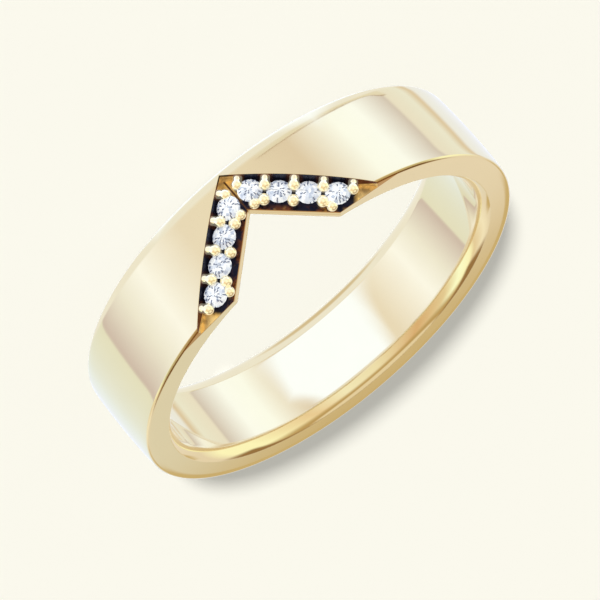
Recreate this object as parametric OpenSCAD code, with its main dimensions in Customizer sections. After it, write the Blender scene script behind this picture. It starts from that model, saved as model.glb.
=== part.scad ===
// Chevron ring.
// A wide, flat, polished band lies on its plain rear edge, with +Z along the finger axis.
// A V notch is cut through the front edge at -Y, and a sunken channel follows it.
// Each arm of the channel holds a row of round stones between small round grains.
// Bridges tie the grains at the channel's wall to it.
// The arms mirror each other across the plane X = 0.

/* [Band] */
// Radius over the crown of the outer face
outer_r = 10.3; // [10.1:0.1:10.8]
// Metal thickness from the finger hole to the crown
wall_t = 1.65; // [1.5:0.05:1.8]
// Width of the band along the finger
band_w = 4.57; // [4.5:0.01:5]
// Height of the outer face's dome over its two edges
dome_rise = 0.07; // [0.05:0.01:0.12]
// Rounding of the two outer edges
edge_r = 0.15; // [0.08:0.01:0.2]
// Depth of the comfort rounding at the finger hole's two edges
comfort_rise = 0.38; // [0.3:0.02:0.5]
// Radius of the comfort rounding
comfort_r = 0.8; // [0.6:0.05:1]

/* [Notch and channel] */
// Turn of each arm's flat floor from the middle of the V, in degrees
arm_turn = 13.5; // [12:0.5:15]
// Rise of each arm over the band's edge, in degrees
arm_rise = 40.2; // [39:0.2:41]
// Depth of the notch behind the front edge
notch_depth = 2.59; // [2.5:0.01:2.6]
// Height that is left of the notch wall before its inner edge rounds off
notch_lip = 0.26; // [0.2:0.02:0.4]
// Width of the channel across an arm
channel_w = 1.29; // [1.26:0.01:1.32]
// Depth of the channel's floor below the crown
channel_depth = 0.92; // [0.88:0.01:0.94]
// Blunting of the channel's and the notch's point
point_trim = 0.04; // [0.03:0.01:0.08]

/* [Stones] */
// Girdle diameter of a stone
stone_d = 1.1; // [1.04:0.01:1.14]
// Distance between neighbouring stones along an arm
stone_pitch = 1.26; // [1.25:0.002:1.27]
// Distance of the first stone from the notch's point, along the arm
first_stone = 0.09; // [0.08:0.002:0.12]
// Distance of the stones from the notch wall
stone_inset = 0.67; // [0.65:0.01:0.69]
// Height of the girdle over the channel's floor
stone_lift = 0.45; // [0.42:0.01:0.47]
// Width of the table as a share of the stone
table_share = 0.58; // [0.5:0.01:0.65]
// Angle of the crown's main facets, in degrees
crown_angle = 34; // [30:0.5:36]
// Angle of the pavilion's main facets, in degrees
pavilion_angle = 40.8; // [39:0.2:42]

/* [Grains and bridges] */
// Width of the bridge that ties a wall grain to the channel's wall
bridge_w = 0.42; // [0.36:0.01:0.44]
// Drop of a bridge's round top below the band's outer face
bridge_drop = 0.03; // [0.02:0.01:0.06]
// Diameter of a wall grain
wall_grain_d = 0.54; // [0.48:0.01:0.56]
// Distance of a wall grain's middle from the notch wall
wall_grain_inset = 0.93; // [0.9:0.01:0.96]
// Drop of a wall grain's top below the band's outer face
wall_grain_drop = 0.01; // [0.01:0.01:0.03]
// Shift of the first wall grain and its bridge away from the notch's point
apex_grain_shift = 0.06; // [0.04:0.01:0.08]
// Diameter of a grain between two stones at the notch
grain_d = 0.54; // [0.48:0.01:0.56]
// Distance of these grains from the notch wall
grain_inset = 0.31; // [0.3:0.01:0.33]
// Height of these grains over the floor
grain_h = 0.64; // [0.6:0.01:0.68]
// Diameter of the grain at each end of a row
end_grain_d = 0.5; // [0.46:0.01:0.52]
// Distance of the end grains from the notch wall
end_grain_inset = 0.14; // [0.13:0.01:0.18]
// Distance of an end grain from its stone, along the arm
end_grain_shift = 0.215; // [0.2:0.005:0.23]
// Height of the end grains over the floor
end_grain_h = 0.55; // [0.54:0.01:0.58]
// Width of a grain's stem as a share of the grain
stem_share = 0.5; // [0.45:0.05:0.6]

/* [Hidden] */

gold = "#e3c98f";
diamond = "#eef3fa";

stones_per_arm = 4;
round_sides = 180;
small_sides = 48;
stone_gap = 0.02;
girdle_t = 0.03;
sink = 0.12;
bridge_root = 0.05;
web_share = 0.8;
overlap = 0.02;
reach = 2 * outer_r;

bore_r = outer_r - wall_t;
dome_r = (pow(band_w / 2, 2) + pow(dome_rise, 2)) / (2 * dome_rise);
comfort_depth = sqrt(pow(comfort_r, 2) - pow(comfort_r - comfort_rise, 2));
floor_h = outer_r - channel_depth;
lip_h = floor_h - notch_lip;
lip_round_r = lip_h - bore_r * cos(arm_turn) + overlap;
point_x = -floor_h * tan(arm_turn);

stone_r = stone_d / 2;
table_r = stone_r * table_share;
crown_h = girdle_t / 2 + (stone_r - table_r) * tan(crown_angle);
culet_z = -girdle_t / 2 - stone_r * tan(pavilion_angle);

function stone_s(i) = first_stone + i * stone_pitch;
function between_s(k) = first_stone + (k - 0.5) * stone_pitch;
function wall_grain_s(k) = between_s(k) + (k == 0 ? apex_grain_shift : 0);

// Height of the band's outer face over an arm's point: s along the arm, t from the notch wall.
function arm_x(s, t) = point_x + s * cos(arm_rise) + t * sin(arm_rise);
function arm_y(s, t) = -notch_depth + s * sin(arm_rise) - t * cos(arm_rise);
function outer_at(y) = outer_r - dome_r + sqrt(pow(dome_r, 2) - pow(y + band_w / 2, 2));
function face_h(s, t) = sqrt(pow(outer_at(arm_y(s, t)), 2) - pow(arm_x(s, t), 2));

// Turns from an arm's own axes to the ring's axes.
// In an arm, +X runs along the band away from the V, +Y to the front and +Z outward.
module arm_axes() {
    rotate([0, 0, arm_turn])
        rotate([90, 0, 0])
            translate([0, band_w, 0])
                children();
}

// Puts +X along the notch wall, from the notch's point, and +Y out into the notch.
// Everything that belongs to the arm lies on the -Y side, at its height over the ring's axis.
module along_arm() {
    arm_axes()
        translate([point_x, -notch_depth, 0])
            rotate([0, 0, arm_rise])
                children();
}

module both_arms() {
    children();
    mirror([1, 0, 0])
        children();
}

// Keeps what is on one side of the V's middle and in front of a line near the rear edge.
module right_side(rear_limit) {
    intersection() {
        translate([-overlap, -reach, rear_limit])
            cube([reach, reach, reach]);
        children();
    }
}

module comfort_corner() {
    difference() {
        translate([bore_r - overlap, -comfort_depth])
            square([comfort_rise + overlap, comfort_depth + overlap]);
        translate([bore_r + comfort_r, -comfort_depth])
            circle(r = comfort_r, $fn = round_sides);
    }
}

module edge_corner() {
    edge_x = outer_r - dome_rise;
    difference() {
        translate([edge_x - edge_r, -edge_r])
            square([dome_rise + edge_r, edge_r + overlap]);
        translate([edge_x - edge_r, -edge_r])
            circle(r = edge_r, $fn = small_sides);
    }
}

module band_profile() {
    difference() {
        intersection() {
            translate([bore_r, 0])
                square([wall_t, band_w]);
            translate([outer_r - dome_r, band_w / 2])
                circle(r = dome_r, $fn = 4 * round_sides);
        }
        for (corner = [[band_w, 0], [0, 1]])
            translate([0, corner[0]])
                mirror([0, corner[1]]) {
                    comfort_corner();
                    edge_corner();
                }
    }
}

module band_blank() {
    rotate_extrude($fn = round_sides)
        band_profile();
}

module channel_cut() {
    rear_limit = band_w - notch_depth - channel_w / cos(arm_rise) + point_trim;
    right_side(rear_limit)
        along_arm()
            translate([-reach / 2, -channel_w, floor_h])
                cube([reach, channel_w + reach / 2, reach / 2]);
}

// The notch goes right through, and its inner edge is rounded toward the finger.
module notch_cut() {
    right_side(band_w - notch_depth + point_trim)
        along_arm()
            translate([-reach / 2, 0, bore_r / 2])
                cube([reach, reach / 2, floor_h + overlap - bore_r / 2]);
    right_side(0)
        along_arm()
            lip_rounding();
}

module lip_rounding() {
    difference() {
        translate([-reach / 2, -lip_round_r, lip_h - lip_round_r - overlap])
            cube([reach, lip_round_r + overlap, lip_round_r + overlap]);
        translate([-reach, -lip_round_r, lip_h])
            rotate([0, 90, 0])
                cylinder(r = lip_round_r, h = 2 * reach, $fn = round_sides);
    }
}

// A grain is a ball on a thinner stem.
module grain(d, h) {
    translate([0, 0, floor_h + h - d / 2])
        sphere(d = d, $fn = small_sides);
    translate([0, 0, floor_h - sink])
        cylinder(d = stem_share * d, h = h + sink - d / 2, $fn = small_sides);
}

// A bridge is a web with a round top, from the channel's wall to the middle of a wall grain.
module bridge(s) {
    root_t = channel_w + bridge_root;
    length = root_t - wall_grain_inset;
    axis_h = min(face_h(s, root_t), face_h(s, wall_grain_inset)) - bridge_drop - bridge_w / 2;
    translate([s, -root_t, axis_h])
        rotate([-90, 0, 0])
            cylinder(d = bridge_w, h = length, $fn = small_sides);
    translate([s - web_share * bridge_w / 2, -root_t, floor_h - sink])
        cube([web_share * bridge_w, length, axis_h - floor_h + sink]);
}

module arm_grains() {
    last_s = stone_s(stones_per_arm - 1);
    along_arm() {
        for (k = [0 : stones_per_arm])
            bridge(wall_grain_s(k));
        for (k = [0 : stones_per_arm])
            translate([wall_grain_s(k), -wall_grain_inset, 0])
                grain(wall_grain_d, face_h(wall_grain_s(k), wall_grain_inset) - floor_h - wall_grain_drop);
        for (k = [1 : stones_per_arm - 1])
            translate([between_s(k), -grain_inset, 0])
                grain(grain_d, grain_h);
        for (s = [stone_s(0) + end_grain_shift, last_s - end_grain_shift])
            translate([s, -end_grain_inset, 0])
                grain(end_grain_d, end_grain_h);
    }
}

// The room that a stone takes, with a small gap round it.
module stone_seat() {
    rotate_extrude($fn = small_sides)
        polygon([
            [0, culet_z - 2 * stone_gap],
            [stone_r + stone_gap, -girdle_t / 2 - stone_gap],
            [stone_r + stone_gap, girdle_t / 2 + stone_gap],
            [table_r + stone_gap, crown_h + stone_gap],
            [0, crown_h + stone_gap]
        ]);
}

module at_stone(i) {
    along_arm()
        translate([stone_s(i), -stone_inset, floor_h + stone_lift])
            children();
}

// Points of a ring of facet corners: count, radius, height and turn in half steps.
function corner_ring(n, r, z, half_steps) =
    [for (k = [0 : n - 1]) [r * cos((k + half_steps / 2) * 360 / n), r * sin((k + half_steps / 2) * 360 / n), z]];

// A round brilliant: table, stars, bezels, upper halves, girdle, lower halves and mains.
module brilliant() {
    mains = 8;
    halves = 2 * mains;
    side_cos = cos(180 / mains);
    star_r = (table_r * side_cos + stone_r) / 2;
    star_z = girdle_t / 2 + (stone_r - star_r * side_cos) * tan(crown_angle);
    lower_r = 0.24 * stone_r;
    lower_z = -girdle_t / 2 - (stone_r - lower_r * side_cos) * tan(pavilion_angle);
    table_at = 0;
    star_at = mains;
    top_at = 2 * mains;
    bottom_at = top_at + halves;
    lower_at = bottom_at + halves;
    culet_at = lower_at + mains;
    points = concat(
        corner_ring(mains, table_r, crown_h, 0),
        corner_ring(mains, star_r, star_z, 1),
        corner_ring(halves, stone_r, girdle_t / 2, 0),
        corner_ring(halves, stone_r, -girdle_t / 2, 0),
        corner_ring(mains, lower_r, lower_z, 1),
        [[0, 0, culet_z]]
    );
    function main(at, k) = at + (k + mains) % mains;
    function half(at, k) = at + (k + halves) % halves;
    faces = concat(
        [[for (k = [mains - 1 : -1 : 0]) table_at + k]],
        [for (k = [0 : mains - 1]) [main(table_at, k), main(table_at, k + 1), main(star_at, k)]],
        [for (k = [0 : mains - 1]) [main(table_at, k), main(star_at, k), half(top_at, 2 * k)]],
        [for (k = [0 : mains - 1]) [main(table_at, k), half(top_at, 2 * k), main(star_at, k - 1)]],
        [for (k = [0 : mains - 1]) [main(star_at, k), half(top_at, 2 * k + 1), half(top_at, 2 * k)]],
        [for (k = [0 : mains - 1]) [main(star_at, k), half(top_at, 2 * k + 2), half(top_at, 2 * k + 1)]],
        [for (k = [0 : halves - 1]) [half(top_at, k), half(top_at, k + 1), half(bottom_at, k + 1)]],
        [for (k = [0 : halves - 1]) [half(top_at, k), half(bottom_at, k + 1), half(bottom_at, k)]],
        [for (k = [0 : mains - 1]) [half(bottom_at, 2 * k), half(bottom_at, 2 * k + 1), main(lower_at, k)]],
        [for (k = [0 : mains - 1]) [half(bottom_at, 2 * k + 1), half(bottom_at, 2 * k + 2), main(lower_at, k)]],
        [for (k = [0 : mains - 1]) [half(bottom_at, 2 * k), main(lower_at, k), culet_at]],
        [for (k = [0 : mains - 1]) [half(bottom_at, 2 * k), culet_at, main(lower_at, k - 1)]]
    );
    polyhedron(points = points, faces = faces);
}

module right_stone(i) {
    color(diamond)
        at_stone(i)
            brilliant();
}

module left_stone(i) {
    mirror([1, 0, 0])
        right_stone(i);
}

// One casting: the band, its notch and channel, the bridges, the grains and the stone seats.
module band() {
    color(gold)
        difference() {
            union() {
                difference() {
                    band_blank();
                    both_arms()
                        channel_cut();
                }
                both_arms()
                    arm_grains();
            }
            both_arms()
                notch_cut();
            both_arms()
                for (i = [0 : stones_per_arm - 1])
                    at_stone(i)
                        stone_seat();
        }
}

band();
right_stone(0);  // right_stone_1
right_stone(1);  // right_stone_2
right_stone(2);  // right_stone_3
right_stone(3);  // right_stone_4
left_stone(0);  // left_stone_1
left_stone(1);  // left_stone_2
left_stone(2);  // left_stone_3
left_stone(3);  // left_stone_4
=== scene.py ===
import math

import bmesh
import bpy
from mathutils import Matrix, Vector


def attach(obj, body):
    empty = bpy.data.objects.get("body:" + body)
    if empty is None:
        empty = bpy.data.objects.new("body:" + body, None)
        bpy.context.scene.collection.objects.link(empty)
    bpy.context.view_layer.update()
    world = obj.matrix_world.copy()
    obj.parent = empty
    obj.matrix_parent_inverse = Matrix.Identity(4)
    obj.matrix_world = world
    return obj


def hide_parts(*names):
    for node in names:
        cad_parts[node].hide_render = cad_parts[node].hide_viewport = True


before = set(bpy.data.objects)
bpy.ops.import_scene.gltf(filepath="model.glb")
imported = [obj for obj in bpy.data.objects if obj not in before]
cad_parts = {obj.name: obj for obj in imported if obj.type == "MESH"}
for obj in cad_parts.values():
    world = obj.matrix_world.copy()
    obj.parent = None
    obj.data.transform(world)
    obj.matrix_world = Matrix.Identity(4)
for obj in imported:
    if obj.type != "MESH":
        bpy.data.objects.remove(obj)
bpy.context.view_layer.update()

MM = 0.001
BODY = "root"
ARMS = ("right", "left")

# The part's own sizes, in millimetres, as the CAD source names them.
OUTER_R = 10.3
WALL_T = 1.65
BAND_W = 4.57
DOME_RISE = 0.07
EDGE_R = 0.15
COMFORT_RISE = 0.38
COMFORT_R = 0.8
ARM_TURN = math.radians(13.5)
ARM_RISE = math.radians(40.2)
NOTCH_DEPTH = 2.59
NOTCH_LIP = 0.26
CHANNEL_W = 1.29
CHANNEL_DEPTH = 0.92
STONE_D = 1.1
STONE_PITCH = 1.26
FIRST_STONE = 0.09
STONES_PER_ARM = 4
STONE_INSET = 0.67
STONE_LIFT = 0.45
BRIDGE_W = 0.42
BRIDGE_DROP = 0.03
BRIDGE_ROOT = 0.05
WEB_SHARE = 0.8
WALL_GRAIN_D = 0.54
WALL_GRAIN_INSET = 0.93
WALL_GRAIN_DROP = 0.01
APEX_GRAIN_SHIFT = 0.06
GRAIN_D = 0.54
GRAIN_INSET = 0.31
GRAIN_H = 0.64
END_GRAIN_D = 0.5
END_GRAIN_INSET = 0.14
END_GRAIN_SHIFT = 0.215
END_GRAIN_H = 0.55
STEM_SHARE = 0.5
ROOT = 0.05
REACH = 24.0
CUTTER_H = 8.0
CUTTER_LOW = 1.5
HOOP_STEPS = 720
COMFORT_STEPS = 14
EDGE_STEPS = 7
EDGE_END = 6
DOME_STEPS = 8
LIP_STEPS = 12
BALL_SIDES = 32
BALL_ROWS = 20
ROUND_SIDES = 24
WELD = 1e-4
BAND_SMOOTH = 24
GRAIN_SMOOTH = 40

BORE_R = OUTER_R - WALL_T
DOME_R = ((BAND_W / 2) ** 2 + DOME_RISE ** 2) / (2 * DOME_RISE)
COMFORT_DEPTH = math.sqrt(COMFORT_R ** 2 - (COMFORT_R - COMFORT_RISE) ** 2)
FLOOR_H = OUTER_R - CHANNEL_DEPTH
LIP_H = FLOOR_H - NOTCH_LIP
LIP_ROUND_R = LIP_H - BORE_R * math.cos(ARM_TURN)
POINT_X = -FLOOR_H * math.tan(ARM_TURN)
EDGE_X = OUTER_R - DOME_RISE - EDGE_R

# The camera, at the photo's viewing angle to the ring.
CAMERA_AT = Vector((6.343, -166.177, 71.923))
CAMERA_AIM = Vector((0.467, 0.188, 2.697))
CAMERA_ROLL = math.radians(139.39)
CAMERA_LENS = 240.0
SENSOR = 36.0
CLIP_NEAR = 10.0
CLIP_FAR = 3000.0


# Camera, floor and lights

def make_camera():
    data = bpy.data.cameras.new("camera")
    data.lens = CAMERA_LENS
    data.sensor_width = SENSOR
    data.clip_start = CLIP_NEAR * MM
    data.clip_end = CLIP_FAR * MM
    camera = bpy.data.objects.new("camera", data)
    bpy.context.scene.collection.objects.link(camera)
    level = (CAMERA_AIM - CAMERA_AT).to_track_quat("-Z", "Y").to_matrix().to_4x4()
    camera.matrix_world = (
        Matrix.Translation(CAMERA_AT * MM) @ level @ Matrix.Rotation(CAMERA_ROLL, 4, "Z")
    )
    bpy.context.scene.camera = camera


def make_floor():
    """A pale floor. The metal mirrors the studio's cards in place of it."""
    size = FLOOR_SIZE * MM
    mesh = bpy.data.meshes.new("floor")
    corners = [(-size, -size, 0), (size, -size, 0), (size, size, 0), (-size, size, 0)]
    mesh.from_pydata(corners, [], [(0, 1, 2, 3)])
    floor = bpy.data.objects.new("floor", mesh)
    bpy.context.scene.collection.objects.link(floor)
    floor.data.materials.append(floor_material())
    floor.visible_glossy = False


def card_object(name, verts, faces, glow, color, power):
    """A card that only mirrors see, as bright at each corner as its glow, which fades to clear."""
    mesh = bpy.data.meshes.new(name)
    mesh.from_pydata([[c * MM for c in v] for v in verts], [], faces)
    glow_at = mesh.attributes.new("glow", "FLOAT", "POINT")
    glow_at.data.foreach_set("value", glow)
    card = bpy.data.objects.new(name, mesh)
    bpy.context.scene.collection.objects.link(card)
    material, tree, _ = new_material(name)
    share = tree.nodes.new("ShaderNodeAttribute")
    share.attribute_name = "glow"
    shine = tree.nodes.new("ShaderNodeEmission")
    shine.inputs["Color"].default_value = (*color, 1)
    shine.inputs["Strength"].default_value = power
    clear = tree.nodes.new("ShaderNodeBsdfTransparent")
    mix = tree.nodes.new("ShaderNodeMixShader")
    tree.links.new(step_node(tree, share.outputs["Fac"], 0, 1), mix.inputs[0])
    tree.links.new(clear.outputs[0], mix.inputs[1])
    tree.links.new(shine.outputs[0], mix.inputs[2])
    tree.links.new(mix.outputs[0], tree.nodes["Material Output"].inputs["Surface"])
    card.data.materials.append(material)
    card.visible_camera = card.visible_diffuse = card.visible_shadow = card.visible_transmission = False


def make_inner_card():
    """A bright fan under the floor, which lights the middle of the bore's far wall."""
    verts = [(x, y, INNER_CARD_Z) for x, y in INNER_CARD + INNER_CARD_RIM]
    count = len(INNER_CARD)
    faces = [tuple(range(count))]
    faces += [(k, (k + 1) % count, count + (k + 1) % count, count + k) for k in range(count)]
    glow = [1.0] * count + [0.0] * count
    card_object("inner_card", verts, faces, glow, INNER_CARD_COLOR, INNER_CARD_POWER)


def make_blind():
    """Keeps the key light from shining through the notch onto the floor inside the ring."""
    mesh = bpy.data.meshes.new("blind")
    x, y, z = BLIND
    corners = [(-x, y, 0), (x, y, 0), (x, y, z), (-x, y, z)]
    mesh.from_pydata([[c * MM for c in v] for v in corners], [], [(0, 1, 2, 3)])
    blind = bpy.data.objects.new("blind", mesh)
    bpy.context.scene.collection.objects.link(blind)
    blind.visible_camera = blind.visible_diffuse = blind.visible_glossy = blind.visible_transmission = False


def floor_only(light):
    """Links a light to the floor alone."""
    group = bpy.data.collections.new(light.name)
    group.objects.link(bpy.data.objects["floor"])
    light.light_linking.receiver_collection = group


def sun_light():
    """The low soft key light, which lays the ring's shadow behind it."""
    data = bpy.data.lights.new("key", "SUN")
    data.energy = KEY_POWER
    data.angle = math.radians(KEY_SOFTNESS)
    light = bpy.data.objects.new("key", data)
    bpy.context.scene.collection.objects.link(light)
    light.rotation_euler = (math.radians(90 - KEY_ELEVATION), 0, math.radians(KEY_AZIMUTH))
    floor_only(light)


def hole_light():
    """A narrow spot from above that lights the floor inside the ring."""
    data = bpy.data.lights.new("hole_light", "SPOT")
    data.energy = HOLE_POWER
    data.shadow_soft_size = HOLE_SOFTNESS * MM
    data.spot_size = 2 * math.atan(HOLE_SPOT_R / HOLE_LIGHT_Z)
    data.spot_blend = HOLE_BLEND
    light = bpy.data.objects.new("hole_light", data)
    bpy.context.scene.collection.objects.link(light)
    light.location = (0, 0, HOLE_LIGHT_Z * MM)
    floor_only(light)
    light.light_linking.blocker_collection = light.light_linking.receiver_collection


INNER_CARD_Z = -3.0
INNER_CARD_POWER = 2.0
INNER_CARD_COLOR = (0.61, 0.73, 1.0)
INNER_CARD = [(0.5, 1.6), (3.6, -11.0), (-7.6, -10.5), (-7.2, -3.0), (-2.2, 1.6)]
INNER_CARD_RIM = [(2.0, 2.6), (8.2, -13.5), (-12.5, -13.5), (-9.8, -2.2), (-3.6, 3.0)]
BLIND = (5.6, -8.3, 5.8)
KEY_ELEVATION = 17.0
KEY_AZIMUTH = 2.2
KEY_SOFTNESS = 4
KEY_POWER = 8.9
HOLE_LIGHT_Z = 300.0
HOLE_SPOT_R = 9.5
HOLE_POWER = 2.9
HOLE_SOFTNESS = 0.1
HOLE_BLEND = 0.03
AMBIENT = 0.17
FLOOR_SIZE = 900.0
FLOOR_GLOW = 0.38
FLOOR_COLOR = (0.965, 0.948, 0.847)

# What the metal mirrors, as (azimuth from -Y in degrees, colour): under the horizon and over it.
LOWER_CARDS = (
    (-180, (0.95, 1.0, 1.15)),
    (-138, (1.0, 1.1, 1.25)),
    (-133, (0.85, 0.75, 0.6)),
    (-125, (1.0, 1.1, 1.15)),
    (-109, (1.0, 1.05, 1.1)),
    (-107, (0.8, 0.8, 0.9)),
    (-84, (1.2, 1.4, 1.75)),
    (-68, (1.2, 1.4, 1.7)),
    (-40, (0.9, 0.85, 0.8)),
    (0, (1.0, 1.0, 0.95)),
    (30, (1.0, 1.0, 1.0)),
    (62, (1.2, 1.35, 1.65)),
    (80, (1.05, 1.15, 1.3)),
    (105, (0.75, 0.7, 0.8)),
    (107, (0.95, 1.05, 1.05)),
    (150, (0.95, 1.1, 1.25)),
    (180, (0.95, 1.0, 1.15)),
)
UPPER_CARDS = (
    (-180, (0.85, 0.85, 0.75)),
    (-175, (0.95, 0.9, 0.8)),
    (-135, (0.95, 0.9, 0.8)),
    (-116, (1.2, 1.3, 1.0)),
    (-90, (1.2, 1.3, 1.0)),
    (-46, (1.0, 0.85, 0.6)),
    (-20, (1.1, 1.15, 1.0)),
    (5, (1.05, 1.05, 0.85)),
    (40, (0.85, 0.6, 0.35)),
    (68, (0.95, 0.85, 0.6)),
    (86, (1.2, 1.4, 1.2)),
    (102, (1.2, 1.3, 1.0)),
    (110, (0.95, 0.85, 0.65)),
    (131, (1.1, 1.1, 1.0)),
    (150, (0.95, 0.9, 0.8)),
    (180, (0.85, 0.85, 0.75)),
)
TOP_CARD = (0.62, 0.46, 0.22)
TOP_CARD_FROM = (0.66, 0.9)
BACK_TOP = (0.38, 0.24, 0.11)
BACK_TOP_Y = (0.1, 0.26)
BACK_TOP_Z = (0.55, 0.68)
NADIR = (1.04, 1.12, 1.24)
NADIR_FROM = (-0.51, -0.54)
NADIR_MIDDLE = (0.8, 0.72, 0.56)
NADIR_MIDDLE_FROM = (-0.9, -0.985)
ZENITH = (0.95, 0.88, 0.7)
ZENITH_FROM = (0.91, 0.95)
UNDER_CARD = (0.95, 0.97, 0.92)
UNDER_LINE = (0.5, 0.35, 0.24)
UNDER_CARD_Z = -0.494
UNDER_CARD_LIFT = 0.034
UNDER_CARD_LIFT_FROM = (-96, -109)
UNDER_CARD_NEAR = (-20, -28)
UNDER_CARD_FAR = (-112, -108)
UNDER_CARD_EDGE = (-0.001, 0.002)
UNDER_LINE_ABOVE = (-0.005, -0.001)
UNDER_LINE_BELOW = (0.003, 0.0)
HORIZON = (-0.04, 0.06)
BACK_OCHRE = (0.7, 0.56, 0.29)
BACK_OCHRE_FROM = (140, 155)
BACK_OCHRE_Z = ((0.2, 0.27), (0.376, 0.356))
CARD_TOP = 2.0

# The gold, the blackened channel and the stones.
BLACKENED = (0.024, 0.023, 0.042)
NAVY = (0.016, 0.017, 0.04)
RED_BROWN = (0.22, 0.07, 0.03)
MAROON = (0.13, 0.018, 0.01)
POINT_GOLD = (0.62, 0.34, 0.1)
OCHRE = (0.86, 0.6, 0.23)
OCHRE_GLOW = 0.2
VALLEY = (0.13, 0.06, 0.035)
# Patches of tarnish as (scale, from, to) of a noise, and where along or across an arm they fade.
WEAR = 0.4
WEAR_PATCHES = (3500, 0.35, 0.6)
BROWN_PATCHES = (2200, 0.42, 0.62)
BROWN_T = (0.36, 0.04)
GILT = 0.7
GILT_PATCHES = (1500, 0.54, 0.64)
GILT_T = (0.32, 0.05)
WALL_BROWN = 0.4
WALL_PATCHES = (1900, 0.35, 0.65)
BRIDGE_NEAR = (0.42, 0.2)
PITCHES_BEFORE = 10
END_S = (4.5, 4.75)
END_WALL_S = (4.6, 4.8)
END_RIM = (0.44, 0.5)
END_TAPER = 0.32
POINT_S = (-0.2, -0.45)
POINT_WALL_S = (-0.35, -0.55)
POINT_RIM = (0.16, 0.22)
VALLEY_X = (0.06, 0.02)
FLOOR_ROUGHNESS = 0.34
WALL_METALLIC = 0.6
WALL_ROUGHNESS = 0.4
NOTCH_LINE = (0.5, 0.27, 0.09)
EDGE_REFLECTION_BROWN = (0.44, 0.3, 0.15)
EDGE_LINE_Z = (BAND_W - 0.12, BAND_W - 0.07)
EDGE_LINE_R = (EDGE_X + 0.02, EDGE_X + 0.06)
EDGE_LINE_Y = (-6.2, -7.6)
BESIDE_FLOOR_H = (FLOOR_H - 0.06, FLOOR_H - 0.03)
BESIDE_FLOOR_Z = (BAND_W - 0.05, BAND_W - 0.02)
NOTCH_LINE_H = (FLOOR_H - 0.1, FLOOR_H - 0.05)
STEM_BLACK_H = (FLOOR_H + 0.26, FLOOR_H + 0.12)
# The grains' painted glow, and the light gold tint in which they glow.
GRAIN_PAINTED_GLOW = 0.2
GLOWING_GRAIN_TINT = (0.86, 0.78, 0.56)
PALE_MIRROR = (0.92, 0.86, 0.74)
# A stone's painted reflections: wedges in rings, short dark dashes, their tones and their glow.
FIRST_WEDGES = 5
MORE_WEDGES = 4
RINGS = 4.4
DASH_HALF = 0.2
DASH_SHARE = 0.4
DASH_MIX = 7
DARK_REFLECTION_DASH = (0.13, 0.16, 0.25)
SEED = 3
STONE_GLOW = 0.55
STONE_ROUGHNESS = 0.04
STONE_IOR = 2.0
STONE_REFLECTION_TONES = (
    (0.0, (0.5, 0.57, 0.71)),
    (0.2, (0.7, 0.76, 0.88)),
    (0.45, (0.93, 0.96, 1.0)),
)
GOLD = (0.82, 0.70, 0.47)
TONE_SCALE = 900
TONE_DETAIL = 4
TONE_SPREAD = (0.3, 0.7)
DEEP_TONE = 0.985
ROUGHNESS = (0.03825, 0.054)
EDGE_SHINE = 0.05
DEEP_MIRROR = 3
DEEP_GOLD = (0.93, 0.88, 0.74)


def ramp_node(tree, stops, top):
    """A colour ramp over azimuth, from (degrees, colour) stops."""
    ramp = tree.nodes.new("ShaderNodeValToRGB")
    elements = ramp.color_ramp.elements
    while len(elements) < len(stops):
        elements.new(0.5)
    for element, (degrees, color) in zip(elements, stops):
        element.position = (degrees + 180) / 360
    for element, (degrees, color) in zip(elements, stops):
        element.color = (*[c / top for c in color], 1)
    return ramp


def calc(tree, operation, *values):
    """A math node over sockets or plain numbers."""
    node = tree.nodes.new("ShaderNodeMath")
    node.operation = operation
    for socket, value in zip(node.inputs, values):
        if isinstance(value, (int, float)):
            socket.default_value = value
        else:
            tree.links.new(value, socket)
    return node.outputs[0]


def scaled(color):
    return tuple(c / CARD_TOP for c in color)


def step_node(tree, value, start, end):
    """A smooth step from 0 at start to 1 at end, which may be the smaller of the two."""
    node = tree.nodes.new("ShaderNodeMapRange")
    node.interpolation_type = "SMOOTHSTEP"
    node.inputs["From Min"].default_value = min(start, end)
    node.inputs["From Max"].default_value = max(start, end)
    node.inputs["To Min"].default_value = 0 if start < end else 1
    node.inputs["To Max"].default_value = 1 if start < end else 0
    tree.links.new(value, node.inputs["Value"])
    return node.outputs["Result"]


def turn_step(tree, azimuth, start, end):
    """A smooth step between two azimuths in degrees."""
    return step_node(tree, azimuth, math.radians(start), math.radians(end))


def under_card(tree, color, azimuth, z):
    """The end of the bright card on the ring's left, with a thin brown line along it."""
    lift = turn_step(tree, azimuth, *UNDER_CARD_LIFT_FROM)
    edge = calc(tree, "ADD", calc(tree, "MULTIPLY", lift, UNDER_CARD_LIFT), UNDER_CARD_Z)
    below = calc(tree, "SUBTRACT", edge, z)
    side = calc(
        tree, "MULTIPLY",
        turn_step(tree, azimuth, *UNDER_CARD_NEAR),
        turn_step(tree, azimuth, *UNDER_CARD_FAR))
    under = calc(tree, "MULTIPLY", side, step_node(tree, below, *UNDER_CARD_EDGE))
    color = mix_color(tree, under, color, scaled(UNDER_CARD))
    line = calc(
        tree, "MULTIPLY",
        step_node(tree, below, *UNDER_LINE_ABOVE),
        step_node(tree, below, *UNDER_LINE_BELOW))
    return mix_color(tree, calc(tree, "MULTIPLY", side, line), color, scaled(UNDER_LINE))


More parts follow.
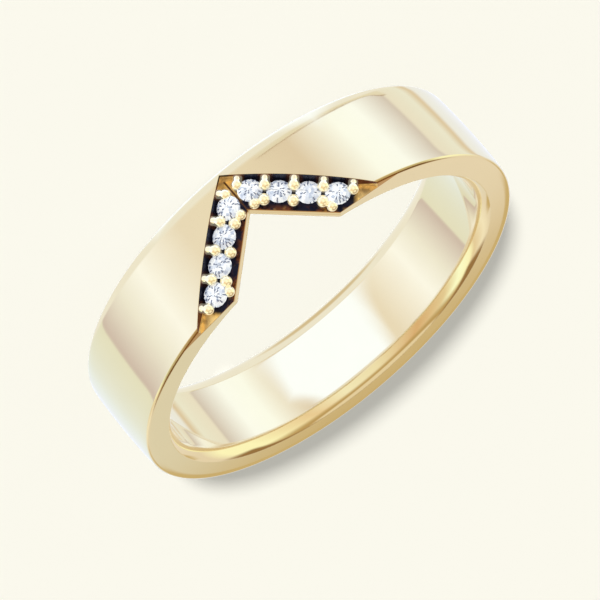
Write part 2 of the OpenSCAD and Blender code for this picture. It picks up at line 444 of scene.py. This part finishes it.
def make_world():
    """Even light for the floor, and a studio of soft cards for what mirrors."""
    world = bpy.data.worlds.new("studio")
    world.use_nodes = True
    tree = world.node_tree
    even = tree.nodes["Background"]
    even.inputs["Color"].default_value = (1, 1, 1, 1)
    even.inputs["Strength"].default_value = AMBIENT
    place = tree.nodes.new("ShaderNodeTexCoord")
    split = tree.nodes.new("ShaderNodeSeparateXYZ")
    tree.links.new(place.outputs["Generated"], split.inputs[0])
    x, y, z = split.outputs
    azimuth = calc(tree, "ARCTAN2", x, calc(tree, "MULTIPLY", y, -1))
    share = calc(tree, "ADD", calc(tree, "DIVIDE", azimuth, 2 * math.pi), 0.5)
    lower = ramp_node(tree, LOWER_CARDS, CARD_TOP)
    upper = ramp_node(tree, UPPER_CARDS, CARD_TOP)
    tree.links.new(share, lower.inputs["Fac"])
    tree.links.new(share, upper.inputs["Fac"])
    over = step_node(tree, z, *HORIZON)
    color = mix_color(tree, over, lower.outputs["Color"], upper.outputs["Color"])
    color = mix_color(tree, step_node(tree, z, *TOP_CARD_FROM), color, scaled(TOP_CARD))
    back_top = calc(tree, "MULTIPLY", step_node(tree, y, *BACK_TOP_Y), step_node(tree, z, *BACK_TOP_Z))
    color = mix_color(tree, back_top, color, scaled(BACK_TOP))
    color = under_card(tree, color, azimuth, z)
    color = mix_color(tree, step_node(tree, z, *NADIR_FROM), color, scaled(NADIR))
    color = mix_color(tree, step_node(tree, z, *NADIR_MIDDLE_FROM), color, scaled(NADIR_MIDDLE))
    color = mix_color(tree, step_node(tree, z, *ZENITH_FROM), color, scaled(ZENITH))
    turn = calc(tree, "ABSOLUTE", azimuth)
    behind = turn_step(tree, turn, *BACK_OCHRE_FROM)
    low_step, high_step = BACK_OCHRE_Z
    layer = calc(
        tree, "MULTIPLY",
        step_node(tree, z, *low_step),
        step_node(tree, z, *high_step))
    color = mix_color(tree, calc(tree, "MULTIPLY", behind, layer), color, scaled(BACK_OCHRE))
    cards = tree.nodes.new("ShaderNodeBackground")
    cards.inputs["Strength"].default_value = CARD_TOP
    tree.links.new(color, cards.inputs["Color"])
    path = tree.nodes.new("ShaderNodeLightPath")
    choose = tree.nodes.new("ShaderNodeMixShader")
    tree.links.new(path.outputs["Is Glossy Ray"], choose.inputs[0])
    tree.links.new(even.outputs[0], choose.inputs[1])
    tree.links.new(cards.outputs[0], choose.inputs[2])
    tree.links.new(choose.outputs[0], tree.nodes["World Output"].inputs["Surface"])
    bpy.context.scene.world = world


def make_lights():
    make_world()
    sun_light()
    hole_light()
    make_blind()
    bpy.context.scene.view_settings.view_transform = "Standard"


# Materials

def new_material(name):
    material = bpy.data.materials.new(name)
    material.use_nodes = True
    shader = material.node_tree.nodes["Principled BSDF"]
    return material, material.node_tree, shader


def floor_material():
    material, _, shader = new_material("floor")
    plain = [c * (1 - FLOOR_GLOW) for c in FLOOR_COLOR]
    shader.inputs["Base Color"].default_value = (*plain, 1)
    shader.inputs["Emission Color"].default_value = (*FLOOR_COLOR, 1)
    shader.inputs["Emission Strength"].default_value = FLOOR_GLOW
    shader.inputs["Roughness"].default_value = 1
    shader.inputs["Specular IOR Level"].default_value = 0
    return material


def gold_material(name, tint_tool, painted_glow=False, color=GOLD):
    """Polished gold with a faint uneven tone. Its tint tool draws the dark lines and stems, and the gold may
    glow in its tint, which is painted light.
    """
    material, tree, shader = new_material(name)
    shader.inputs["Metallic"].default_value = 1
    place = tree.nodes.new("ShaderNodeTexCoord")
    tone = tree.nodes.new("ShaderNodeTexNoise")
    tone.inputs["Scale"].default_value = TONE_SCALE
    tone.inputs["Detail"].default_value = TONE_DETAIL
    tree.links.new(place.outputs["Object"], tone.inputs["Vector"])
    ramp = tree.nodes.new("ShaderNodeValToRGB")
    deep, light = ramp.color_ramp.elements
    deep.position, light.position = TONE_SPREAD
    deep.color = (*[c * DEEP_TONE for c in color], 1)
    light.color = (*color, 1)
    tree.links.new(tone.outputs["Fac"], ramp.inputs["Fac"])
    tint = tint_tool(tree, ramp.outputs["Color"])
    # A glow in the gold's own tint: painted light that stands in for the grains' reflections.
    if painted_glow:
        tree.links.new(tint, shader.inputs["Emission Color"])
        shader.inputs["Emission Strength"].default_value = GRAIN_PAINTED_GLOW
    # Seen in a mirror, the gold takes a paler base colour: a painted reflection tone.
    path = tree.nodes.new("ShaderNodeLightPath")
    again = calc(tree, "GREATER_THAN", path.outputs["Ray Depth"], 0.5)
    tree.links.new(mix_color(tree, again, tint, PALE_MIRROR), shader.inputs["Base Color"])
    spread = tree.nodes.new("ShaderNodeMapRange")
    spread.inputs["To Min"].default_value = ROUGHNESS[0]
    spread.inputs["To Max"].default_value = ROUGHNESS[1]
    tree.links.new(tone.outputs["Fac"], spread.inputs["Value"])
    tree.links.new(spread.outputs["Result"], shader.inputs["Roughness"])
    soft = tree.nodes.new("ShaderNodeBevel")
    soft.samples = 4
    soft.inputs["Radius"].default_value = EDGE_SHINE * MM
    tree.links.new(soft.outputs["Normal"], shader.inputs["Normal"])
    calm_deep_mirrors(tree, shader)
    return material


def black_stem(tree, tint):
    """Blackens a grain's stem, down in the channel, and leaves its ball gold."""
    height = along_arm(tree)[3]
    return mix_color(tree, fade(tree, height, *STEM_BLACK_H), tint, NAVY)


def radius_node(tree, x, y):
    squares = calc(tree, "ADD", calc(tree, "MULTIPLY", x, x), calc(tree, "MULTIPLY", y, y))
    return calc(tree, "SQRT", squares)


def front_edge(tree, tint):
    """Brown lines on the front edge: a painted dark reflection along its rounding where the V is, and a line
    beside the channel's floor.
    """
    place = tree.nodes.new("ShaderNodeTexCoord")
    split = tree.nodes.new("ShaderNodeSeparateXYZ")
    tree.links.new(place.outputs["Object"], split.inputs[0])
    x, y, z = split.outputs
    radius = radius_node(tree, x, y)
    around = calc(
        tree, "MULTIPLY", fade(tree, z, *EDGE_LINE_Z), fade(tree, radius, *EDGE_LINE_R))
    # Painted dark reflection: a brown line on the edge's rounding beside the V.
    tint = mix_color(
        tree, calc(tree, "MULTIPLY", around, fade(tree, y, *EDGE_LINE_Y)), tint, EDGE_REFLECTION_BROWN)
    beside = calc(
        tree, "MULTIPLY",
        fade(tree, along_arm(tree)[3], *BESIDE_FLOOR_H),
        fade(tree, z, *BESIDE_FLOOR_Z))
    return mix_color(tree, beside, tint, NOTCH_LINE)


def line_under_floor(tree, tint):
    """An orange-brown line on the notch wall, next to the blackened floor."""
    height = along_arm(tree)[3]
    return mix_color(tree, fade(tree, height, *NOTCH_LINE_H), tint, NOTCH_LINE)


def calm_deep_mirrors(tree, shader):
    """Mirrors of mirrors end in a plain gold tone, and the metal throws no bright spots on the floor."""
    path = tree.nodes.new("ShaderNodeLightPath")
    deep = calc(tree, "GREATER_THAN", path.outputs["Ray Depth"], DEEP_MIRROR - 0.5)
    plain = tree.nodes.new("ShaderNodeEmission")
    plain.inputs["Color"].default_value = (*DEEP_GOLD, 1)
    mix = tree.nodes.new("ShaderNodeMixShader")
    tree.links.new(deep, mix.inputs[0])
    tree.links.new(shader.outputs[0], mix.inputs[1])
    tree.links.new(plain.outputs[0], mix.inputs[2])
    dull = tree.nodes.new("ShaderNodeEmission")
    dull.inputs["Color"].default_value = (*DEEP_GOLD, 1)
    dull.inputs["Strength"].default_value = AMBIENT
    seen = tree.nodes.new("ShaderNodeMixShader")
    tree.links.new(path.outputs["Is Diffuse Ray"], seen.inputs[0])
    tree.links.new(mix.outputs[0], seen.inputs[1])
    tree.links.new(dull.outputs[0], seen.inputs[2])
    tree.links.new(seen.outputs[0], tree.nodes["Material Output"].inputs["Surface"])


def along_arm(tree):
    """An arm's own axes: distance from the notch's point, distance from the notch wall, place and height."""
    place = tree.nodes.new("ShaderNodeTexCoord")
    split = tree.nodes.new("ShaderNodeSeparateXYZ")
    tree.links.new(place.outputs["Object"], split.inputs[0])
    joined = tree.nodes.new("ShaderNodeCombineXYZ")
    tree.links.new(calc(tree, "ABSOLUTE", split.outputs[0]), joined.inputs[0])
    tree.links.new(split.outputs[1], joined.inputs[1])
    tree.links.new(split.outputs[2], joined.inputs[2])
    to_arm = arm_matrix("right").inverted()
    distances = []
    for row in (0, 1, 2):
        dot = tree.nodes.new("ShaderNodeVectorMath")
        dot.operation = "DOT_PRODUCT"
        tree.links.new(joined.outputs[0], dot.inputs[0])
        dot.inputs[1].default_value = to_arm[row][:3]
        distances.append(calc(tree, "ADD", dot.outputs["Value"], to_arm[row][3] * MM))
    return distances[0], calc(tree, "MULTIPLY", distances[1], -1), place, distances[2]


def fade(tree, value, start, end):
    """A smooth step between two lengths in millimetres."""
    return step_node(tree, value, start * MM, end * MM)


def mix_color(tree, factor, first, second):
    node = tree.nodes.new("ShaderNodeMix")
    node.data_type = "RGBA"
    tree.links.new(factor, node.inputs[0])
    for socket, value in ((node.inputs[6], first), (node.inputs[7], second)):
        if isinstance(value, tuple):
            socket.default_value = (*value, 1)
        else:
            tree.links.new(value, socket)
    return node.outputs[2]


def patina(tree, place, scale, low, high):
    """How far the gold shows through the blackening, in patches."""
    noise = tree.nodes.new("ShaderNodeTexNoise")
    noise.inputs["Scale"].default_value = scale
    noise.inputs["Detail"].default_value = 3
    tree.links.new(place.outputs["Object"], noise.inputs["Vector"])
    ramp = tree.nodes.new("ShaderNodeMapRange")
    ramp.interpolation_type = "SMOOTHSTEP"
    ramp.inputs["From Min"].default_value = low
    ramp.inputs["From Max"].default_value = high
    tree.links.new(noise.outputs["Fac"], ramp.inputs["Value"])
    return ramp.outputs["Result"]


def near_bridge(tree, s):
    """Distance along the arm from the nearest bridge, in metres."""
    from_first = calc(tree, "SUBTRACT", s, (FIRST_STONE - 0.5 * STONE_PITCH) * MM)
    turns = calc(tree, "DIVIDE", from_first, STONE_PITCH * MM)
    part = calc(tree, "FRACT", calc(tree, "ADD", turns, PITCHES_BEFORE + 0.5))
    off = calc(tree, "ABSOLUTE", calc(tree, "SUBTRACT", part, 0.5))
    return calc(tree, "MULTIPLY", off, STONE_PITCH * MM)


def worn(tree, place):
    """How much of the gold is left where it shows, in patches."""
    wear = patina(tree, place, *WEAR_PATCHES)
    return calc(tree, "ADD", calc(tree, "MULTIPLY", wear, WEAR), 1 - WEAR)


def gild(tree, shader, color, golden):
    """Sets a colour, with a warm glow where the gold shows."""
    tree.links.new(color, shader.inputs["Base Color"])
    shader.inputs["Emission Color"].default_value = (*OCHRE, 1)
    tree.links.new(calc(tree, "MULTIPLY", golden, OCHRE_GLOW), shader.inputs["Emission Strength"])


def floor_of_channel_material():
    """The blackened floor: gold shows at its ends, at the point and in patches beside the notch."""
    material, tree, shader = new_material("channel_floor")
    s, t, place, _ = along_arm(tree)
    patches = calc(tree, "MULTIPLY", patina(tree, place, *BROWN_PATCHES), fade(tree, t, *BROWN_T))
    color = mix_color(tree, patches, BLACKENED, RED_BROWN)
    gilt = calc(tree, "MULTIPLY", patina(tree, place, *GILT_PATCHES), fade(tree, t, *GILT_T))
    color = mix_color(tree, calc(tree, "MULTIPLY", gilt, GILT), color, POINT_GOLD)
    shown = worn(tree, place)
    at_end = calc(tree, "MULTIPLY", fade(tree, s, *END_S), shown)
    at_point = calc(tree, "MULTIPLY", fade(tree, s, *POINT_S), shown)
    split = tree.nodes.new("ShaderNodeSeparateXYZ")
    tree.links.new(place.outputs["Object"], split.inputs[0])
    valley = fade(tree, calc(tree, "ABSOLUTE", split.outputs[0]), *VALLEY_X)
    at_point = calc(tree, "MULTIPLY", at_point, calc(tree, "SUBTRACT", 1.0, valley))
    golden = calc(tree, "MAXIMUM", at_end, at_point)
    color = mix_color(tree, golden, mix_color(tree, valley, color, VALLEY), OCHRE)
    gild(tree, shader, color, golden)
    shader.inputs["Metallic"].default_value = 1
    shader.inputs["Roughness"].default_value = FLOOR_ROUGHNESS
    return material


def rim_depth(tree, place):
    """Depth below the band's crown, in metres."""
    split = tree.nodes.new("ShaderNodeSeparateXYZ")
    tree.links.new(place.outputs["Object"], split.inputs[0])
    x, y, _ = split.outputs
    return calc(tree, "SUBTRACT", OUTER_R * MM, radius_node(tree, x, y))


def wall_of_channel_material():
    """The blackened walls: red-brown beside the bridges, golden at the point and below the ends' rims."""
    material, tree, shader = new_material("channel_wall")
    s, _, place, _ = along_arm(tree)
    beside = fade(tree, near_bridge(tree, s), *BRIDGE_NEAR)
    uneven = calc(tree, "ADD", patina(tree, place, *WALL_PATCHES), WALL_BROWN)
    patches = calc(tree, "MULTIPLY", uneven, beside)
    color = mix_color(tree, calc(tree, "MINIMUM", patches, 1.0), NAVY, RED_BROWN)
    color = mix_color(tree, fade(tree, s, *END_S), color, MAROON)
    depth = rim_depth(tree, place)
    past = calc(tree, "MULTIPLY", calc(tree, "SUBTRACT", s, END_S[1] * MM), END_TAPER)
    taper = calc(tree, "ADD", depth, past)
    at_end = calc(tree, "MULTIPLY", fade(tree, taper, *END_RIM), fade(tree, s, *END_WALL_S))
    at_point = calc(tree, "MULTIPLY", fade(tree, depth, *POINT_RIM), fade(tree, s, *POINT_WALL_S))
    golden = calc(tree, "MULTIPLY", calc(tree, "MAXIMUM", at_end, at_point), worn(tree, place))
    color = mix_color(tree, golden, color, OCHRE)
    gild(tree, shader, color, golden)
    shader.inputs["Metallic"].default_value = WALL_METALLIC
    shader.inputs["Roughness"].default_value = WALL_ROUGHNESS
    return material


def stone_axes(tree, node, side, k):
    """A stone's own X and Y at a point of it, as shares of the stone's radius."""
    place_on_arm = (FIRST_STONE + k * STONE_PITCH, -STONE_INSET, FLOOR_H + STONE_LIFT)
    centre = arm_matrix(side) @ Matrix.Translation(place_on_arm)
    own = centre.inverted() @ Matrix.Scale(1 / MM, 4) @ node.matrix_world
    place = tree.nodes.new("ShaderNodeTexCoord")
    shares = []
    for row in (0, 1):
        dot = tree.nodes.new("ShaderNodeVectorMath")
        dot.operation = "DOT_PRODUCT"
        tree.links.new(place.outputs["Object"], dot.inputs[0])
        dot.inputs[1].default_value = Vector(own[row][:3]) * 2 / STONE_D
        shares.append(calc(tree, "ADD", dot.outputs["Value"], own[row][3] * 2 / STONE_D))
    return shares


def stone_material(node, side, k):
    """A cut stone as it shows at this size: icy wedges with short dark dashes, painted reflections of its
    facets that also glow, under glossy facets.
    """
    material, tree, shader = new_material(f"{side}_stone_{k + 1}")
    u, v = stone_axes(tree, node, side, k)
    ring = calc(tree, "FLOOR", calc(tree, "MULTIPLY", radius_node(tree, u, v), RINGS))
    count = calc(tree, "ADD", calc(tree, "MULTIPLY", ring, MORE_WEDGES), FIRST_WEDGES)
    turn = calc(tree, "DIVIDE", calc(tree, "ARCTAN2", v, u), 2 * math.pi)
    turns = calc(tree, "MULTIPLY", turn, count)
    wedge = calc(tree, "FLOOR", turns)
    cell = tree.nodes.new("ShaderNodeCombineXYZ")
    tree.links.new(wedge, cell.inputs[0])
    tree.links.new(ring, cell.inputs[1])
    cell.inputs[2].default_value = k + (STONES_PER_ARM if side == "left" else 0) + SEED
    tone = tree.nodes.new("ShaderNodeTexWhiteNoise")
    tree.links.new(cell.outputs[0], tone.inputs["Vector"])
    middle = calc(tree, "ABSOLUTE", calc(tree, "SUBTRACT", calc(tree, "FRACT", turns), 0.5))
    dashed = calc(tree, "FRACT", calc(tree, "MULTIPLY", tone.outputs["Value"], DASH_MIX))
    dash = calc(
        tree, "MULTIPLY",
        calc(tree, "LESS_THAN", middle, DASH_HALF),
        calc(tree, "LESS_THAN", dashed, DASH_SHARE))
    ramp = tree.nodes.new("ShaderNodeValToRGB")
    ramp.color_ramp.interpolation = "CONSTANT"
    elements = ramp.color_ramp.elements
    while len(elements) < len(STONE_REFLECTION_TONES):
        elements.new(0.5)
    for element, (position, color) in zip(elements, STONE_REFLECTION_TONES):
        element.position = position
    for element, (position, color) in zip(elements, STONE_REFLECTION_TONES):
        element.color = (*color, 1)
    tree.links.new(tone.outputs["Value"], ramp.inputs["Fac"])
    # Painted reflections: the wedge tones and dark dashes stand in for the facets' light and shade, and the
    # stone glows in them.
    color = mix_color(tree, dash, ramp.outputs["Color"], DARK_REFLECTION_DASH)
    tree.links.new(color, shader.inputs["Base Color"])
    tree.links.new(color, shader.inputs["Emission Color"])
    shader.inputs["Emission Strength"].default_value = STONE_GLOW
    shader.inputs["Roughness"].default_value = STONE_ROUGHNESS
    shader.inputs["IOR"].default_value = STONE_IOR
    return material


# Mesh tools, in millimetres

def outer_at(z):
    return OUTER_R - DOME_R + math.sqrt(DOME_R ** 2 - (z - BAND_W / 2) ** 2)


def face_h(s, t):
    """Height of the band's outer face over an arm's point."""
    x = POINT_X + s * math.cos(ARM_RISE) + t * math.sin(ARM_RISE)
    y = -NOTCH_DEPTH + s * math.sin(ARM_RISE) - t * math.cos(ARM_RISE)
    return math.sqrt(outer_at(BAND_W + y) ** 2 - x ** 2)


def arm_matrix(side):
    """From an arm's own axes to the ring's: X away from the notch's point, Y into the notch, Z outward."""
    matrix = (
        Matrix.Rotation(ARM_TURN, 4, "Z")
        @ Matrix.Rotation(math.pi / 2, 4, "X")
        @ Matrix.Translation((0, BAND_W, 0))
        @ Matrix.Translation((POINT_X, -NOTCH_DEPTH, 0))
        @ Matrix.Rotation(ARM_RISE, 4, "Z")
    )
    return matrix if side == "right" else Matrix.Scale(-1, 4, (1, 0, 0)) @ matrix


def arc(centre, radius, start, end, steps):
    """Points of an arc from one angle to another, in degrees."""
    points = []
    for k in range(steps + 1):
        a = math.radians(start + (end - start) * k / steps)
        points.append((centre[0] + radius * math.cos(a), centre[1] + radius * math.sin(a)))
    return points


def band_profile():
    """The band's cross-section as (radius, height) points, from the bore's middle round to it again."""
    swing = math.degrees(math.asin(COMFORT_DEPTH / COMFORT_R))
    flat_from = BORE_R + COMFORT_RISE
    comfort_x = BORE_R + COMFORT_R
    upper = [(BORE_R, BAND_W / 2)]
    upper += arc((comfort_x, BAND_W - COMFORT_DEPTH), COMFORT_R, 180, 180 - swing, COMFORT_STEPS)
    upper += [(flat_from + (EDGE_X - flat_from) * k / 4, BAND_W) for k in (1, 2, 3)]
    upper += arc((EDGE_X, BAND_W - EDGE_R), EDGE_R, 90, EDGE_END, EDGE_STEPS)
    for k in range(DOME_STEPS):
        z = BAND_W - EDGE_R + (BAND_W / 2 - (BAND_W - EDGE_R)) * (k + 1) / DOME_STEPS
        upper.append((outer_at(z), z))
    lower = [(r, BAND_W - z) for r, z in reversed(upper[1:-1])]
    return upper + lower


def new_object(name, bm, materials, smooth_angle=None):
    """Turns a bmesh in millimetres into an object in metres."""
    bmesh.ops.recalc_face_normals(bm, faces=bm.faces)
    bmesh.ops.scale(bm, vec=(MM, MM, MM), verts=bm.verts)
    mesh = bpy.data.meshes.new(name)
    bm.to_mesh(mesh)
    bm.free()
    thing = bpy.data.objects.new(name, mesh)
    bpy.context.scene.collection.objects.link(thing)
    for material in materials:
        mesh.materials.append(material)
    if smooth_angle is not None:
        for polygon in mesh.polygons:
            polygon.use_smooth = True
        mesh.set_sharp_from_angle(angle=math.radians(smooth_angle))
    return thing


def revolve(bm, profile, steps):
    rings = []
    for k in range(steps):
        a = 2 * math.pi * k / steps
        rings.append([bm.verts.new((r * math.cos(a), r * math.sin(a), z)) for r, z in profile])
    count = len(profile)
    for k in range(steps):
        here, there = rings[k], rings[(k + 1) % steps]
        for j in range(count):
            n = (j + 1) % count
            bm.faces.new((here[j], there[j], there[n], here[n]))


def prism(bm, outline, low, high, floor_index=0, wall_index=1):
    """A straight prism over a plan outline, from one height to another."""
    bottom = [bm.verts.new((x, y, low)) for x, y in outline]
    top = [bm.verts.new((x, y, high)) for x, y in outline]
    faces = [bm.faces.new(list(reversed(bottom))), bm.faces.new(top)]
    for k in range(len(outline)):
        n = (k + 1) % len(outline)
        faces.append(bm.faces.new((bottom[k], bottom[n], top[n], top[k])))
    faces[0].material_index = floor_index
    for face in faces[1:]:
        face.material_index = wall_index


def keep_right(bm, low_z):
    """Cuts off what is left of the V's middle or under a height, and closes the lower cut."""
    for point, normal, fill in (((0, 0, 0), (1, 0, 0), False), ((0, 0, low_z), (0, 0, 1), True)):
        parts = list(bm.verts) + list(bm.edges) + list(bm.faces)
        cut = bmesh.ops.bisect_plane(
            bm, geom=parts, plane_co=point, plane_no=normal, clear_inner=True, dist=1e-6)
        if fill:
            rim = [e for e in cut["geom_cut"] if isinstance(e, bmesh.types.BMEdge)]
            bmesh.ops.contextual_create(bm, geom=rim)


def mirrored(bm):
    """Adds the left half and welds the two halves on the plane X = 0."""
    parts = list(bm.verts) + list(bm.edges) + list(bm.faces)
    copy = bmesh.ops.duplicate(bm, geom=parts)["geom"]
    verts = [g for g in copy if isinstance(g, bmesh.types.BMVert)]
    faces = [g for g in copy if isinstance(g, bmesh.types.BMFace)]
    bmesh.ops.scale(bm, vec=(-1, 1, 1), verts=verts)
    bmesh.ops.reverse_faces(bm, faces=faces)
    bmesh.ops.remove_doubles(bm, verts=bm.verts, dist=WELD)


def wall_grain_s(k):
    return FIRST_STONE + (k - 0.5) * STONE_PITCH + (APEX_GRAIN_SHIFT if k == 0 else 0)


def channel_cutter():
    bm = bmesh.new()
    outline = [(-REACH / 2, REACH / 2), (-REACH / 2, -CHANNEL_W), (REACH, -CHANNEL_W), (REACH, REACH / 2)]
    prism(bm, outline, FLOOR_H, FLOOR_H + CUTTER_H)
    bmesh.ops.transform(bm, matrix=arm_matrix("right"), verts=bm.verts)
    keep_right(bm, BAND_W - NOTCH_DEPTH - CHANNEL_W / math.cos(ARM_RISE) - 0.5)
    mirrored(bm)
    return bm


def notch_cutter():
    """The notch and the rounding of its inner edge, drawn as a section and run along the arm."""
    section = [(REACH / 2, FLOOR_H + ROOT), (0, FLOOR_H + ROOT), (0, LIP_H)]
    low = LIP_H - LIP_ROUND_R
    for k in range(1, LIP_STEPS + 1):
        a = math.pi / 2 * k / LIP_STEPS
        section.append((-LIP_ROUND_R * (1 - math.cos(a)), LIP_H - LIP_ROUND_R * math.sin(a)))
    section += [(-LIP_ROUND_R, low - CUTTER_LOW), (REACH / 2, low - CUTTER_LOW)]
    bm = bmesh.new()
    near = [bm.verts.new((-REACH / 2, y, z)) for y, z in section]
    far = [bm.verts.new((REACH, y, z)) for y, z in section]
    bm.faces.new(near)
    bm.faces.new(list(reversed(far)))
    for k in range(len(section)):
        n = (k + 1) % len(section)
        bm.faces.new((near[n], near[k], far[k], far[n]))
    bmesh.ops.transform(bm, matrix=arm_matrix("right"), verts=bm.verts)
    keep_right(bm, -1)
    mirrored(bm)
    return bm


def cut(target, bm, name, materials):
    cutter = new_object(name, bm, materials)
    modifier = target.modifiers.new(name, "BOOLEAN")
    modifier.operation = "DIFFERENCE"
    modifier.solver = "EXACT"
    modifier.material_mode = "TRANSFER"
    modifier.object = cutter
    with bpy.context.temp_override(object=target, active_object=target, selected_objects=[target]):
        bpy.ops.object.modifier_apply(modifier=name)
    bpy.data.objects.remove(cutter)


def make_band(gold, notch_gold, floor, wall):
    bm = bmesh.new()
    revolve(bm, band_profile(), HOOP_STEPS)
    band = new_object("polished_band", bm, [gold])
    cut(band, channel_cutter(), "channel_cut", [floor, wall])
    cut(band, notch_cutter(), "notch_cut", [notch_gold])
    for polygon in band.data.polygons:
        polygon.use_smooth = True
    band.data.set_sharp_from_angle(angle=math.radians(BAND_SMOOTH))
    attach(band, BODY)
    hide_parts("band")
    return band


def ball_on_stem(bm, at, d, top_h, bottom_h):
    """A grain: a ball whose top is at a height over the ring's axis, on a thinner stem."""
    centre = Vector((at[0], at[1], top_h - d / 2))
    bmesh.ops.create_uvsphere(
        bm, u_segments=BALL_SIDES, v_segments=BALL_ROWS, radius=d / 2,
        matrix=Matrix.Translation(centre))
    length = centre.z - bottom_h
    middle = Vector((at[0], at[1], bottom_h + length / 2))
    bmesh.ops.create_cone(
        bm, cap_ends=True, segments=ROUND_SIDES, radius1=STEM_SHARE * d / 2, radius2=STEM_SHARE * d / 2,
        depth=length, matrix=Matrix.Translation(middle))


def bridge(bm, s):
    """A web with a round top, from the channel's wall to the middle of a wall grain."""
    r = BRIDGE_W / 2
    root_t = CHANNEL_W + BRIDGE_ROOT
    axis_h = min(face_h(s, root_t), face_h(s, WALL_GRAIN_INSET)) - BRIDGE_DROP - r
    swing = math.degrees(math.acos(WEB_SHARE))
    section = arc((s, axis_h), r, -swing, 180 + swing, ROUND_SIDES)
    section += [(s - WEB_SHARE * r, FLOOR_H - ROOT), (s + WEB_SHARE * r, FLOOR_H - ROOT)]
    near = [bm.verts.new((x, -WALL_GRAIN_INSET, z)) for x, z in section]
    far = [bm.verts.new((x, -root_t, z)) for x, z in section]
    bm.faces.new(near)
    bm.faces.new(list(reversed(far)))
    for k in range(len(section)):
        n = (k + 1) % len(section)
        bm.faces.new((near[n], near[k], far[k], far[n]))


def make_grains(grain_gold):
    """Each arm's bridges with their wall grains, and the grains beside the notch."""
    for side in ARMS:
        bm = bmesh.new()
        for k in range(STONES_PER_ARM + 1):
            s = wall_grain_s(k)
            bridge(bm, s)
            top = face_h(s, WALL_GRAIN_INSET) - WALL_GRAIN_DROP
            ball_on_stem(bm, (s, -WALL_GRAIN_INSET), WALL_GRAIN_D, top, FLOOR_H - ROOT)
        for k in range(1, STONES_PER_ARM):
            s = FIRST_STONE + (k - 0.5) * STONE_PITCH
            ball_on_stem(bm, (s, -GRAIN_INSET), GRAIN_D, FLOOR_H + GRAIN_H, FLOOR_H - ROOT)
        last = FIRST_STONE + (STONES_PER_ARM - 1) * STONE_PITCH
        for s in (FIRST_STONE + END_GRAIN_SHIFT, last - END_GRAIN_SHIFT):
            top = FLOOR_H + END_GRAIN_H
            ball_on_stem(bm, (s, -END_GRAIN_INSET), END_GRAIN_D, top, FLOOR_H - ROOT)
        bmesh.ops.transform(bm, matrix=arm_matrix(side), verts=bm.verts)
        grains = new_object(side + "_grains", bm, [grain_gold], GRAIN_SMOOTH)
        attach(grains, BODY)


def dress_stones():
    for side in ARMS:
        for k in range(STONES_PER_ARM):
            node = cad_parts[f"{side}_stone_{k + 1}"]
            node.data.materials.clear()
            node.data.materials.append(stone_material(node, side, k))


make_camera()
make_floor()
make_inner_card()
make_lights()
gold = gold_material("gold", front_edge)
notch_gold = gold_material("notch_gold", line_under_floor)
make_band(gold, notch_gold, floor_of_channel_material(), wall_of_channel_material())
make_grains(gold_material("grain_gold", black_stem, True, GLOWING_GRAIN_TINT))
dress_stones()
